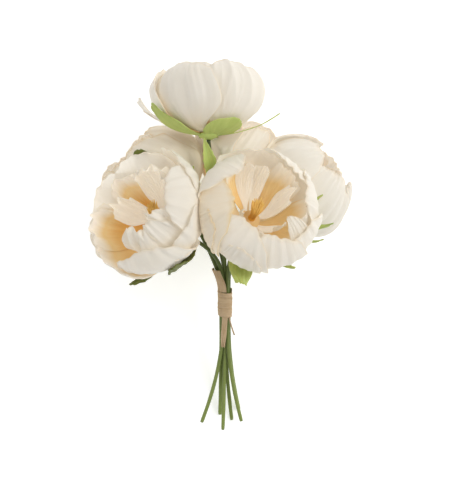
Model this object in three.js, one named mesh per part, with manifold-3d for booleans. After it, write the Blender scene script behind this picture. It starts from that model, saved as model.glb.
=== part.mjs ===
// A tied bunch of six cream peonies, lying on a flat surface with its heads towards +Y.
// Millimetres, +Z up. The surface is Z = 0 and the origin lies under the middle of the bunch.
//
// Each head is one solid of petals grown from a small core, with stamens in its heart and a green
// calyx under it, on its own stem. The stems run side by side through a raffia tie and spread
// again to their cut ends. Some stems carry leaves.

import * as THREE from "three";
import { mergeVertices } from "three/addons/utils/BufferGeometryUtils.js";
import Module from "manifold-3d";

const wasm = await Module();
wasm.setup();

// ---------------------------------------------------------------- driving dimensions

const PLACE = new THREE.Vector3(6, 9.2, 0); // moves the drawing's origin under the middle of the bunch
const GAP = 0.3; // between pieces that touch
const SHORTEST_EDGE = 0.03; // edges shorter than this are closed up where sheets meet

const PETAL_THICK = 0.8;
const SEPAL_THICK = 0.8;
const LEAF_THICK = 0.9;
const CUP_LOW = 33; // foot of a head to its widest girth
const CUP_HIGH = 27; // widest girth to the top of a closed globe
const CORE_RADIUS = 9;
const CORE_HEIGHT = 13;
const CALYX_RADIUS = 8.2;
const CALYX_DEPTH = 5.5; // below the foot of its head
const STEM_RADIUS = 1.55;
const STEM_RING = 3.3; // stems round the middle one, in the tie
const STEM_STRAIGHT = 38; // straight stretch of each stem, at the tie
const STEM_SPREAD = 36; // how far below the tie a stem holds its way before it spreads

const TIE_CENTRE = new THREE.Vector3(-3.3, -52, 33);
const TIE_RISE = 15; // degrees that the tie slopes up towards the heads
const TIE_LENGTH = 24;
const TIE_BORE = 5.2;
const TIE_WALL = 0.75;
const TIE_TURNS = 3; // ridges where the raffia is wound
const STRAP_LENGTH = 17; // upper strap, along the stems that it holds
const TAIL_LENGTH = 23;
const TAIL_WIDTH = 4.8;
const STRAND_LENGTH = 14;
const STRAND_WIDTH = 1.2;

// centre is the middle of the head's widest girth. heading turns from +X towards +Y and rise lifts
// towards +Z, in degrees, and together they give the way that the head faces.
const HEADS = {
  top: {
    centre: [-17.4, 116.9, 82], heading: 92, rise: -8, radius: 43.5, form: "globe", roll: 21, seed: 3,
  },
  left_front: { centre: [-65, 21.6, 98], heading: 147, rise: 55, radius: 51, form: "open", seed: 11 },
  right_front: { centre: [23.4, 24, 105], heading: 52, rise: 64, radius: 48.5, form: "open", seed: 23 },
  left_back: { centre: [-61.5, 50, 41], heading: 135, rise: 8, radius: 46, form: "bud", seed: 37 },
  right_back: { centre: [60, 44, 38.4], heading: 38, rise: 10, radius: 43, form: "bud", seed: 41 },
  middle_back: { centre: [8.5, 68, 37], heading: 60, rise: 6, radius: 41, form: "tucked", seed: 53 },
};

// Where two heads press on each other: the share of the way from the first centre to the second.
// lean tips the seam so that the second head overhangs the first.
const SEAMS = [
  { pair: ["left_front", "right_front"], share: 0.522, lean: 0.2 },
  { pair: ["left_front", "left_back"], share: 0.5 },
  { pair: ["right_front", "right_back"], share: 0.555 },
  { pair: ["right_front", "middle_back"], share: 0.53 },
  { pair: ["right_front", "left_back"], share: 0.5 },
  { pair: ["left_back", "middle_back"], share: 0.61, lean: -0.3 },
  { pair: ["right_back", "middle_back"], share: 0.57, lean: -0.4 },
  { pair: ["top", "middle_back"], share: 0.52 },
  { pair: ["top", "left_back"], share: 0.5 },
  { pair: ["top", "left_front"], share: 0.5 },
  { pair: ["top", "right_front"], share: 0.5 },
  { pair: ["left_front", "middle_back"], share: 0.5 },
];
const SEAM_SOFT = 3; // how far before a seam the petals start to give way
const FLOOR_LEVEL = -0.1; // the lowest petals flatten here, and are then cut flat on the surface
const FLOOR_SOFT = 3;

// Petal rings, from the outside in. radius is a share of the head's, lift is the root's height on
// the core, angles are in degrees, and yaw, ruffle, fold, lip and flare are in millimetres.
const RINGS = [
  {
    count: 5, radius: 1, root: 9, end: 134, span: 48, droop: 20, yaw: 2.4, ruffle: 0.3, lip: 0.6,
    across: 4,
  },
  {
    count: 4, radius: 0.86, lift: 2, root: 10, end: 140, span: 54, droop: 20, yaw: 2.2, ruffle: 0.3,
    turn: 36, high: 22,
  },
  {
    count: 3, radius: 0.66, lift: 4.5, root: 13, end: 128, span: 62, droop: 26, yaw: 2, ruffle: 1.2,
    waves: 3, turn: 20, high: 17, across: 4, along: 3,
  },
  {
    count: 3, radius: 0.42, lift: 7.5, root: 20, end: 106, span: 54, droop: 22, yaw: 2, ruffle: 1.2,
    waves: 3, turn: 50, high: 12, along: 3,
  },
];
const RINGS_SHOWN = { globe: [0, 1, 2, 3], bud: [0, 1, 2], tucked: [0, 3], open: [] };
const BUD_TALL = 1.37; // a bud's petals close over a taller top than a globe's
const BUD_CLOSE = 15; // and reach further over it, in degrees

// Petals placed one by one. turn is round the head's axis. OUTER petals make up the bowls of the
// open heads, and INNER ones stand inside them.
const OUTER = { radius: 1, root: 9, span: 46, droop: 20, yaw: 2.6, lip: 0.6, waist: 0.32, across: 4 };
const INNER = { lift: 3, root: 10, span: 34, yaw: 3, ruffle: 1.2 };
const PLACED_PETALS = {
  top: [
    { turn: 169, radius: 1, root: 8, end: 88, span: 29, stand: 1.5, flare: 11, droop: 16, taper: 0.85 },
  ],
  left_front: [
    { ...OUTER, turn: 325, end: 112, span: 36, along: 3 },
    { ...OUTER, turn: 277, end: 126, span: 44 },
    { ...OUTER, turn: 232, end: 104, span: 42, along: 3 },
    { ...OUTER, turn: 187, radius: 0.99, end: 98, span: 40, along: 3 },
    { ...OUTER, turn: 140, radius: 0.98, end: 100, span: 42, along: 3 },
    { ...OUTER, turn: 92, radius: 0.96, end: 104, span: 40, along: 3 },
    { ...OUTER, turn: 42, radius: 0.99, end: 110, span: 42, along: 3 },
    { ...OUTER, turn: 5, radius: 0.92, end: 144, span: 44, yaw: 0 },
    { ...OUTER, turn: 300, radius: 0.8, end: 146, span: 34, yaw: 0, ruffle: 1.5, waves: 3 },
    { ...INNER, turn: 128, radius: 0.72, end: 104, span: 27 },
    { ...INNER, turn: 188, radius: 0.9, end: 104, span: 26, ruffle: 2, waves: 3 },
    { ...INNER, turn: 270, radius: 0.66, end: 142, ruffle: 2.4, waves: 3 },
    { ...INNER, turn: 318, radius: 0.62, end: 140, ruffle: 2, waves: 3 },
    { ...INNER, turn: 40, radius: 0.6, end: 112, span: 28, ruffle: 2, waves: 3 },
    { ...INNER, turn: 82, radius: 0.62, lift: 5, end: 112, span: 32, yaw: -4, ruffle: 3, waves: 4 },
    {
      ...INNER, turn: 153, radius: 0.5, lift: 6, end: 96, span: 27, yaw: 6, ruffle: 2.2, waves: 3,
      along: 3,
    },
  ],
  right_front: [
    { ...OUTER, turn: 187, end: 148, span: 44 },
    { ...OUTER, turn: 235, end: 150, span: 44 },
    { ...OUTER, turn: 281, end: 142, span: 42 },
    { ...OUTER, turn: 325, end: 130, span: 38 },
    { ...OUTER, turn: 8, end: 140, span: 40 },
    { ...OUTER, turn: 53, end: 130, span: 40 },
    { ...OUTER, turn: 98, end: 112, span: 40, along: 3 },
    { ...OUTER, turn: 142, end: 140, span: 38 },
    { ...OUTER, turn: 322, radius: 0.86, end: 150, span: 17, across: 3 },
    { ...INNER, turn: 48, radius: 0.8, end: 114, span: 24 },
    { ...INNER, turn: 104, radius: 0.74, end: 106, span: 13, fold: 2, along: 3, across: 2 },
    { ...INNER, turn: 122, radius: 0.82, end: 112, span: 15, yaw: -3, along: 3, across: 2 },
    { ...INNER, turn: 82, radius: 0.7, end: 108, span: 12, fold: 2, along: 3, across: 2 },
    { ...INNER, turn: 270, radius: 0.7, end: 124 },
    { ...INNER, turn: 350, radius: 0.8, end: 118 },
    {
      ...INNER, turn: 22, radius: 0.56, lift: 5, root: 14, end: 108, span: 24, yaw: 8, ruffle: 2.4,
      along: 3,
    },
    { ...INNER, turn: 205, radius: 0.36, lift: 6, root: 16, end: 100, span: 16, along: 3, across: 2 },
    { ...INNER, turn: 320, radius: 0.46, lift: 6, root: 16, end: 92, span: 22, along: 3 },
  ],
};

// Green sepals under each head: flare bends the tip away from the petals.
const SEPALS = {
  top: [
    { turn: 308, end: 40, span: 54, flare: 1, ruffle: 0.8, waves: 3, taper: 0, droop: 26, waist: 0.85 },
    { turn: 207, end: 70, span: 20, flare: 3, taper: 0.7, droop: 8, waist: 0.8 },
    { turn: 12, end: 58, span: 1.6, flare: 19, taper: 0.6, droop: 2 },
    { turn: 90, end: 50, span: 26, flare: 1 },
  ],
  left_front: [
    { turn: 348, end: 71, span: 12, flare: 2.5 },
    { turn: 50, end: 62, span: 16, flare: 1.2 },
    { turn: 145, end: 64, span: 20, flare: 2.2 },
    { turn: 211, end: 61, span: 20, flare: 2.2 },
  ],
  right_front: [
    { turn: 259, end: 83, span: 15, flare: 10, taper: 0.7, droop: 12 },
    { turn: 306, end: 79, span: 11, flare: 1, taper: 0.8 },
    { turn: 341, end: 84, span: 5, flare: 4 },
    { turn: 356, end: 86, span: 8, flare: 9 },
    { turn: 20, end: 86, span: 8, flare: 6, taper: 0.8 },
  ],
  left_back: [
    { turn: 190, end: 60, span: 20, flare: 2 },
    { turn: 140, end: 54, span: 18, flare: 2 },
    { turn: 60, end: 50, span: 18, flare: 1 },
  ],
  right_back: [
    { turn: 14, end: 60, span: 20, flare: 2 },
    { turn: 64, end: 50, span: 18, flare: 1 },
    { turn: 155, end: 54, span: 20, flare: 1 },
  ],
  middle_back: [
    { turn: 60, end: 48, span: 20, flare: 1 },
    { turn: 120, end: 48, span: 20, flare: 1 },
  ],
};
const SEPAL_STAND = 2.4; // from the petals' round to the sepals', at their root
const SEPAL_RISE = 2.4; // and further still from half way up

const STAMENS = { count: 9, height: 15, spread: 5.5, lean: 0.4 }; // lean is sideways for each mm up
const HIDDEN_STAMENS = { count: 4, height: 9, spread: 4.5, lean: 0 };

// slot is where a stem stands in the tie, in degrees round its axis (null is the middle), and end
// is its cut end. leave and enter are how far it holds its way at the head and at the tie, and lean
// is how far it bends sideways above the tie.
const STEMS = {
  top: { slot: null, end: [-5.1, -158.5, 11], leave: 15, enter: 60 },
  left_front: { slot: 126, end: [-22.8, -152.4, 9], leave: 25, enter: 30 },
  right_front: { slot: 54, end: [10.3, -151.5, 8.5], leave: 25, enter: 20 },
  left_back: { slot: 198, end: [-7.6, -146.5, 1.4], leave: 8, enter: 20, lean: -6.5 },
  right_back: { slot: 342, end: [8.2, -141.9, 2.6], leave: 15, enter: 20 },
  middle_back: { slot: 270, end: [2.3, -151.1, 1.4], leave: 15, enter: 20 },
};

// Leaves that spread from a stem just under its head, as sepals do but further out.
const HEAD_LEAVES = {
  left_front: [
    { turn: 97, end: 93, span: 15, flare: 5, taper: 0.6 },
    { turn: 250, end: 76, span: 13, flare: 3, taper: 0.75 },
    { turn: 296, end: 86, span: 21, flare: 0, taper: 0.6, droop: 10 },
  ],
};
const LEAF_STAND = 8.5; // from the petals' round to the leaves', at their root
const LEAF_CLOSE = 4.5; // how much nearer a leaf lies at the girth
const LEAF_CELLS = 4; // along a leaf, with a tooth at every second one
const LEAF_TEETH = 0.14; // share of the width that a tooth stands out

// A leaf on a stem above the tie: at is the share of the way down the stem's upper bend.
const STEM_LEAVES = {
  right_front: { at: 0.5, reach: [5, -26, 5], width: 9, arch: 2 },
  top: { at: 0.45, reach: [-9.3, 35.7, 21.6], width: 10.5, arch: -4 },
};

// ---------------------------------------------------------------- small tools

const rad = THREE.MathUtils.degToRad;
const smooth = THREE.MathUtils.smoothstep;
const vector = (values) => new THREE.Vector3(...values);

const TIE_AXIS = new THREE.Vector3(0, Math.cos(rad(TIE_RISE)), Math.sin(rad(TIE_RISE)));
const TIE_SIDE = new THREE.Vector3(1, 0, 0);
const TIE_FRONT = TIE_SIDE.clone().cross(TIE_AXIS);

// A fixed draw between -1 and 1 for each seed.
function draw(seed) {
  const wave = Math.sin(seed * 12.9898 + 4.1414) * 43758.5453;
  return 2 * (wave - Math.floor(wave)) - 1;
}

function directionOf({ heading, rise }) {
  const flat = Math.cos(rad(rise));
  return new THREE.Vector3(
    Math.cos(rad(heading)) * flat,
    Math.sin(rad(heading)) * flat,
    Math.sin(rad(rise)),
  );
}

// A closed geometry as a solid.
function solidOf(geometry) {
  const bare = geometry.clone();
  bare.deleteAttribute("normal");
  bare.deleteAttribute("uv");
  const merged = mergeVertices(bare, 1e-4);
  return new wasm.Manifold(
    new wasm.Mesh({
      numProp: 3,
      vertProperties: new Float32Array(merged.attributes.position.array),
      triVerts: new Uint32Array(merged.index.array),
    }),
  );
}

// The largest body of a solid, with its sealed hollows filled, loose scraps dropped and the
// shortest edges closed up.
function wholeBody(solid) {
  const bodies = solid.decompose().filter((body) => body.volume() > 0);
  const body = bodies.reduce((best, each) => (each.volume() > best.volume() ? each : best));
  return body.asOriginal().simplify(SHORTEST_EDGE);
}

function join(solids) {
  return wholeBody(wasm.Manifold.union(solids));
}

// Cuts off what lies below the surface, which leaves the flat spots that the bunch rests on.
const UNDERGROUND = solidOf(new THREE.BoxGeometry(800, 800, 20).translate(0, 0, -10));

function cutFlat(solid) {
  return solid.boundingBox().min[2] < 0 ? wholeBody(solid.subtract(UNDERGROUND)) : solid;
}

function geometryOf(solid) {
  const mesh = solid.getMesh();
  const geometry = new THREE.BufferGeometry();
  geometry.setAttribute("position", new THREE.BufferAttribute(new Float32Array(mesh.vertProperties), 3));
  geometry.setIndex(new THREE.BufferAttribute(new Uint32Array(mesh.triVerts), 1));
  geometry.computeVertexNormals();
  return geometry;
}

// A sheet of even thickness on surface(u, v), u from -1 to 1 and v from 0 to 1, closed all round.
// Both faces are split into triangles alike.
function sheet(surface, across, along, thick) {
  const step = 0.02;
  const rows = along + 1;
  const count = (across + 1) * rows;
  const positions = new Float32Array(count * 6);
  for (let i = 0; i <= across; i++)
    for (let j = 0; j <= along; j++) {
      const u = (2 * i) / across - 1;
      const v = j / along;
      const point = surface(u, v);
      const alongU = surface(u + step, v).sub(surface(u - step, v));
      const alongV = surface(u, Math.min(1, v + step)).sub(surface(u, Math.max(0, v - step)));
      const normal = alongU.cross(alongV).setLength(thick / 2);
      const k = i * rows + j;
      point.clone().add(normal).toArray(positions, 3 * k);
      point.clone().sub(normal).toArray(positions, 3 * (count + k));
    }
  const faces = [];
  const quad = (a, b, c, d) => faces.push(a, b, c, a, c, d);
  for (let i = 0; i < across; i++)
    for (let j = 0; j < along; j++) {
      const a = i * rows + j;
      const b = a + rows;
      faces.push(a, b, b + 1, a, b + 1, a + 1);
      faces.push(count + a, count + b + 1, count + b, count + a, count + a + 1, count + b + 1);
    }
  for (let i = 0; i < across; i++) {
    const a = i * rows;
    const top = a + along;
    quad(a, count + a, count + a + rows, a + rows);
    quad(top, top + rows, count + top + rows, count + top);
  }
  for (let j = 0; j < along; j++) {
    const b = across * rows + j;
    quad(j, j + 1, count + j + 1, count + j);
    quad(b, count + b, count + b + 1, b + 1);
  }
  const geometry = new THREE.BufferGeometry();
  geometry.setAttribute("position", new THREE.BufferAttribute(positions, 3));
  geometry.setIndex(faces);
  return solidOf(geometry);
}

// A turned solid in the frame that matrix gives: outline is a list of [radius, height].
function turned(outline, segments, matrix) {
  const profile = outline.map(([r, z]) => new THREE.Vector2(r, z));
  return solidOf(new THREE.LatheGeometry(profile, segments).rotateX(Math.PI / 2).applyMatrix4(matrix));
}

// ---------------------------------------------------------------- heads

// A head's own frame: z along the way it faces, x as near to +X as can be, origin at its foot.
function frameOf(head) {
  const z = directionOf(head);
  const x = new THREE.Vector3(1, 0, 0).addScaledVector(z, -z.x).normalize();
  const y = z.clone().cross(x);
  const foot = vector(head.centre).addScaledVector(z, -CUP_LOW);
  return { x, y, z, foot, matrix: new THREE.Matrix4().makeBasis(x, y, z).setPosition(foot) };
}

// The planes that a head may not pass, each with its normal pointing away from the head. keep is
// how far before a seam its sheets stay.
function planesOf(name, keep) {
  const planes = [];
  for (const { pair, share, lean = 0 } of SEAMS) {
    if (!pair.includes(name)) continue;
    const from = vector(HEADS[pair[0]].centre);
    const way = vector(HEADS[pair[1]].centre).sub(from);
    const point = from.addScaledVector(way, share);
    const normal = way.normalize().add(new THREE.Vector3(0, 0, lean)).normalize();
    if (name === pair[1]) normal.negate();
    planes.push({ point, normal, keep, soft: SEAM_SOFT });
  }
  const floor = new THREE.Vector3(0, 0, FLOOR_LEVEL);
  planes.push({ point: floor, normal: new THREE.Vector3(0, 0, -1), keep: 0, soft: FLOOR_SOFT });
  return planes;
}

// Moves a point back from the planes near it: the nearer it would come, the more it gives way.
function press(point, planes) {
  for (const { point: on, normal, keep, soft } of planes) {
    const depth = point.clone().sub(on).dot(normal) + keep;
    if (depth > -soft) {
      const kept = -soft * Math.exp(-(depth + soft) / soft);
      point.addScaledVector(normal, kept - depth);
    }
  }
  return point;
}

const PLAIN_PETAL = {
  low: CUP_LOW, high: CUP_HIGH, lift: 0, root: 8, droop: 24, yaw: 0, ruffle: 0, waves: 2,
  phase: 0, fold: 0, lip: 0, flare: 0, stand: 0, turn: 0, taper: 0.2, teeth: 0, stalk: 0,
  waist: 0.45,
};

// A point of a petal in its head's frame. The petal is a patch of the head's globe, reaching from
// its root near the axis to a rounded edge, and it may be yawed, folded, ruffled or bent outwards.
function petalPoint(petal, u, v) {
  const { radius, low, high, lift, root, end, droop, span, turn, taper, teeth } = petal;
  const { yaw, ruffle, waves, phase, fold, lip, flare, stand, stalk, waist } = petal;
  const reach = end - droop * Math.abs(u) ** 2.4;
  const angle = rad(root + (reach - root) * v);
  const tall = angle < Math.PI / 2 ? low : high;
  const grown = smooth(v, 0, 0.5);
  const sway = Math.PI * waves * u + phase;
  const tooth = 1 + teeth * Math.cos(LEAF_CELLS * Math.PI * v);
  const wide = (waist + (1 - waist) * grown) * (1 - taper * smooth(v, 0.5, 1)) * tooth;
  const r =
    radius * Math.sin(angle) +
    yaw * u * grown +
    ruffle * Math.sin(sway) * v ** 3 -
    fold * (1 - Math.abs(u)) * grown +
    lip * smooth(v, 0.75, 1) * (1 - u * u) +
    stand * smooth(v, 0, 0.4) +
    flare * v * v;
  const z = lift + low - tall * Math.cos(angle) + 0.4 * ruffle * Math.cos(sway + phase) * v ** 3;
  const around = rad(turn + span * u * wide);
  const [c, s] = [Math.cos(around), Math.sin(around)];
  return new THREE.Vector3(r * c - stalk * u * s, r * s + stalk * u * c, z);
}

function surfaceOf(petal, frame, planes) {
  return (u, v) => press(petalPoint(petal, u, v).applyMatrix4(frame.matrix), planes);
}

// The petals of one head, each a full set of numbers, with small fixed draws so that no two match.
function petalsOf(name) {
  const head = HEADS[name];
  const petals = [];
  const coarse = head.form === "globe" || head.form === "open" ? {} : { across: 3 };
  const add = (spec, share, seed) => {
    const petal = { ...PLAIN_PETAL, ...spec, ...coarse, radius: spec.radius * head.radius * share };
    petal.turn += 3 * draw(seed);
    petal.end += 4 * draw(seed + 0.3);
    petal.phase = Math.PI * draw(seed + 0.6);
    petals.push(petal);
  };
  for (const index of RINGS_SHOWN[head.form]) {
    const spec = RINGS[index];
    for (let k = 0; k < spec.count; k++) {
      const seed = head.seed + 10 * index + k;
      const petal = { ...spec, turn: (spec.turn ?? 0) + (head.roll ?? 0) + (360 * k) / spec.count };
      if (head.form !== "globe") {
        petal.high = (spec.high ?? CUP_HIGH) * BUD_TALL;
        petal.end += BUD_CLOSE;
      }
      add(petal, 1 + 0.01 * draw(seed + 0.9), seed);
    }
  }
  (PLACED_PETALS[name] ?? []).forEach((spec, k) => add(spec, 1, head.seed + 60 + k));
  return petals;
}

// The petals of a head, grown from the knob at its foot.
function petalSolid(name) {
  const frame = frameOf(HEADS[name]);
  const planes = planesOf(name, (PETAL_THICK + SEPAL_THICK) / 2 + GAP);
  const core = turned(
    [
      [0, -0.5],
      [CORE_RADIUS * 0.75, -0.5],
      [CORE_RADIUS, CORE_HEIGHT * 0.35],
      [CORE_RADIUS * 0.8, CORE_HEIGHT * 0.85],
      [0, CORE_HEIGHT],
    ],
    6,
    frame.matrix,
  );
  const sheets = petalsOf(name).map((petal) =>
    sheet(surfaceOf(petal, frame, planes), petal.across ?? 3, petal.along ?? 4, PETAL_THICK),
  );
  return join([core, ...sheets]);
}

// The green cup under a head, with its sepals.
function calyxSolid(name) {
  const head = HEADS[name];
  const frame = frameOf(head);
  const planes = planesOf(name, 0);
  const cup = turned(
    [
      [0, -CALYX_DEPTH],
      [2.4, -CALYX_DEPTH],
      [CALYX_RADIUS * 0.67, -CALYX_DEPTH * 0.73],
      [CALYX_RADIUS, -2.2],
      [CALYX_RADIUS, -0.5 - GAP],
      [0, -0.5 - GAP],
    ],
    6,
    frame.matrix,
  );
  const sheets = SEPALS[name].map((spec) => {
    const sepal = {
      ...PLAIN_PETAL, root: 6, droop: 20, taper: 0.75, stand: SEPAL_RISE, ...spec,
      radius: head.radius + SEPAL_STAND, low: CUP_LOW + SEPAL_STAND, lift: -SEPAL_STAND,
    };
    return sheet(surfaceOf(sepal, frame, planes), sepal.span > 22 ? 3 : 2, 3, SEPAL_THICK);
  });
  return join([cup, ...sheets]);
}

// The stamens in the heart of a head: club-ended threads on a small button.
function stamenSolid(name) {
  const head = HEADS[name];
  const frame = frameOf(head);
  const { count, height, spread, lean } = head.form === "open" ? STAMENS : HIDDEN_STAMENS;
  const seat = CORE_HEIGHT + GAP + 0.2;
  const leaning = new THREE.Matrix4().set(1, 0, 0, 0, 0, 1, lean, -lean * seat, 0, 0, 1, 0, 0, 0, 0, 1);
  const button = [
    [0, seat],
    [3, seat - 0.75],
    [3, seat + 0.2],
    [0, seat + 1.4],
  ];
  const threads = [];
  for (let k = 0; k < count; k++) {
    const around = 2.4 * k;
    const outer = Math.sqrt((k + 0.5) / count);
    const tall = height * (1 - 0.12 * (1 + draw(head.seed + k + 0.2)));
    const splay = Math.atan2((spread - 2.2) * outer, height);
    const place = new THREE.Matrix4()
      .makeRotationAxis(new THREE.Vector3(-Math.sin(around), Math.cos(around), 0), splay)
      .setPosition(2.2 * outer * Math.cos(around), 2.2 * outer * Math.sin(around), seat - 0.3)
      .premultiply(leaning);
    const outline = [
      [0, 0],
      [0.4, 0],
      [0.9, tall * 0.88],
      [0, tall],
    ];
    threads.push(turned(outline, 3, place.premultiply(frame.matrix)));
  }
  return join([turned(button, 6, frame.matrix), ...threads]);
}

// ---------------------------------------------------------------- stems and leaves

// A point in the tie's own space: along its axis, and at an angle (0 is +X, 90 is up) and a radius.
function tiePoint(along, angle, radius) {
  return TIE_CENTRE.clone()
    .addScaledVector(TIE_AXIS, along)
    .addScaledVector(TIE_SIDE, radius * Math.cos(rad(angle)))
    .addScaledVector(TIE_FRONT, radius * Math.sin(rad(angle)));
}

// The three stretches of a stem: from its head to the tie, through the tie, and on to its cut end.
function stretchesOf(name) {
  const { slot, end, leave, enter, lean = 0 } = STEMS[name];
  const frame = frameOf(HEADS[name]);
  const ring = slot === null ? 0 : STEM_RING;
  const upper = tiePoint(STEM_STRAIGHT / 2, slot ?? 0, ring);
  const lower = tiePoint(-STEM_STRAIGHT / 2, slot ?? 0, ring);
  const top = frame.foot.clone().addScaledVector(frame.z, -CALYX_DEPTH - GAP);
  const below = top.clone().addScaledVector(frame.z, -leave);
  const above = upper.clone().addScaledVector(TIE_AXIS, enter).addScaledVector(TIE_SIDE, lean);
  const onward = lower.clone().addScaledVector(TIE_AXIS, -STEM_SPREAD);
  return [
    new THREE.CubicBezierCurve3(top, below, above, upper),
    new THREE.LineCurve3(upper, lower),
    new THREE.QuadraticBezierCurve3(lower, onward, vector(end)),
  ];
}

function stemTube(name) {
  const path = new THREE.CurvePath();
  stretchesOf(name).forEach((stretch) => path.add(stretch));
  const section = new THREE.Shape();
  const sides = 6;
  for (let k = 0; k < sides; k++) {
    const corner = (2 * Math.PI * k) / sides;
    const place = [STEM_RADIUS * Math.cos(corner), STEM_RADIUS * Math.sin(corner)];
    if (k === 0) section.moveTo(...place);
    else section.lineTo(...place);
  }
  const steps = Math.round(path.getLength() / 12);
  return solidOf(new THREE.ExtrudeGeometry(section, { steps, bevelEnabled: false, extrudePath: path }));
}

function headLeaf(name, spec) {
  const head = HEADS[name];
  const leaf = {
    ...PLAIN_PETAL, root: -1, stalk: 1.1, droop: 18, taper: 0.8, teeth: LEAF_TEETH,
    stand: -LEAF_CLOSE, ...spec,
    radius: head.radius + LEAF_STAND, low: CUP_LOW + LEAF_STAND, lift: -LEAF_STAND,
  };
  return sheet(surfaceOf(leaf, frameOf(head), planesOf(name, 0)), 2, LEAF_CELLS, LEAF_THICK);
}

// A pointed and toothed leaf on the upper bend of a stem. arch is how far its middle bends down.
function stemLeaf(name, { at, reach, width, arch }) {
  const root = stretchesOf(name)[0].getPoint(at);
  const way = vector(reach);
  const side = way.clone().cross(new THREE.Vector3(0, 0, -1)).normalize();
  const up = side.clone().cross(way).normalize();
  const surface = (u, v) => {
    const tooth = 1 + LEAF_TEETH * Math.cos(LEAF_CELLS * Math.PI * v);
    const half = (width / 2) * Math.sin(Math.PI * (0.06 + 0.9 * v)) * tooth;
    return root
      .clone()
      .addScaledVector(way, v)
      .addScaledVector(side, half * u)
      .addScaledVector(up, arch * (4 * v * (1 - v) + 0.5 * u * u * half * 0.3));
  };
  return sheet(surface, 2, LEAF_CELLS, LEAF_THICK);
}

function stemSolid(name) {
  const leaves = (HEAD_LEAVES[name] ?? []).map((spec) => headLeaf(name, spec));
  if (name in STEM_LEAVES) leaves.push(stemLeaf(name, STEM_LEAVES[name]));
  return join([stemTube(name), ...leaves]);
}

// ---------------------------------------------------------------- the raffia tie

// A wound sleeve round all stems, a strap above it round the two left stems, and two loose ends.
function tieSolid() {
  const half = TIE_LENGTH / 2;
  const outer = TIE_BORE + TIE_WALL;
  const outline = [[TIE_BORE, -half]];
  for (let k = 0; k < TIE_TURNS; k++) {
    const low = -half + (TIE_LENGTH * k) / TIE_TURNS;
    outline.push([outer - 0.2, low], [outer + 0.15, low + (0.5 * TIE_LENGTH) / TIE_TURNS]);
  }
  outline.push([outer - 0.2, half], [TIE_BORE, half], [TIE_BORE, -half]);
  const matrix = new THREE.Matrix4()
    .makeBasis(TIE_SIDE, TIE_FRONT.clone().negate(), TIE_AXIS)
    .setPosition(TIE_CENTRE);
  const sleeve = turned(outline, 12, matrix);

  const middle = TIE_BORE + TIE_WALL / 2;
  const strands = ["left_front", "left_back"].map((name) => stretchesOf(name)[0]);
  const strap = sheet(
    (u, v) => {
      const along = half - 1.5 + (STRAP_LENGTH + 1.5) * v;
      const [first, second] = strands.map((curve) => pointAtHeight(curve, along));
      const between = first.clone().add(second).multiplyScalar(0.5);
      const room = first.distanceTo(second) / 2 + STEM_RADIUS + GAP + 0.7;
      const blend = smooth(v, 0.05, 0.9);
      const centre = tiePoint(along, 0, 0).lerp(between, blend);
      const radius = middle + (room - middle) * blend + 0.5 * Math.sin(Math.PI * blend);
      const angle = rad(150 - 72 * u);
      return centre
        .addScaledVector(TIE_SIDE, radius * Math.cos(angle))
        .addScaledVector(TIE_FRONT, radius * Math.sin(angle));
    },
    7,
    3,
    TIE_WALL,
  );
  const loose = (length, width, angle, drift, curl) =>
    sheet(
      (u, v) => {
        const point = tiePoint(1.5 - half - (length + 1.5) * v, angle, middle + curl * v * v);
        return point.addScaledVector(TIE_SIDE, drift * v + (width / 2) * u);
      },
      2,
      3,
      TIE_WALL,
    );
  return join([
    sleeve,
    strap,
    loose(TAIL_LENGTH, TAIL_WIDTH, 90, -0.6, 3),
    loose(STRAND_LENGTH, STRAND_WIDTH, 55, 3.4, 2),
  ]);
}

// The point of a stem's upper bend at a distance along the tie's axis from its middle.
function pointAtHeight(curve, along) {
  let [low, high] = [0, 1];
  for (let k = 0; k < 30; k++) {
    const t = (low + high) / 2;
    if (curve.getPoint(t).sub(TIE_CENTRE).dot(TIE_AXIS) > along) low = t;
    else high = t;
  }
  return curve.getPoint(low);
}

// ---------------------------------------------------------------- the bunch

const material = (color, roughness) => new THREE.MeshStandardMaterial({ color, roughness, metalness: 0 });
const MATERIALS = {
  petal: material(0xe9e2d2, 0.75),
  calyx: material(0xa9b86c, 0.7),
  stamen: material(0xdfae5c, 0.7),
  stem: material(0x5f6f35, 0.55),
  raffia: material(0xb29372, 0.85),
};

const bunch = new THREE.Group();
bunch.name = "peony_bunch";
bunch.position.copy(PLACE);

function addNode(name, solid, finish) {
  const mesh = new THREE.Mesh(geometryOf(cutFlat(solid)), MATERIALS[finish]);
  mesh.name = name;
  bunch.add(mesh);
}

for (const name of Object.keys(HEADS)) {
  addNode(`${name}_petals`, petalSolid(name), "petal");
  addNode(`${name}_stamens`, stamenSolid(name), "stamen");
  addNode(`${name}_calyx`, calyxSolid(name), "calyx");
  addNode(`${name}_stem`, stemSolid(name), "stem");
}
addNode("raffia_tie", tieSolid(), "raffia");

export default bunch;
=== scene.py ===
"""A tied bunch of six cream fabric peonies, lying on a pale surface and seen from above.

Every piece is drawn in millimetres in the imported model's own frame: the same heads, seams, stems
and tie, with finer sheets in place of the plain ones.
"""

import math

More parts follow.
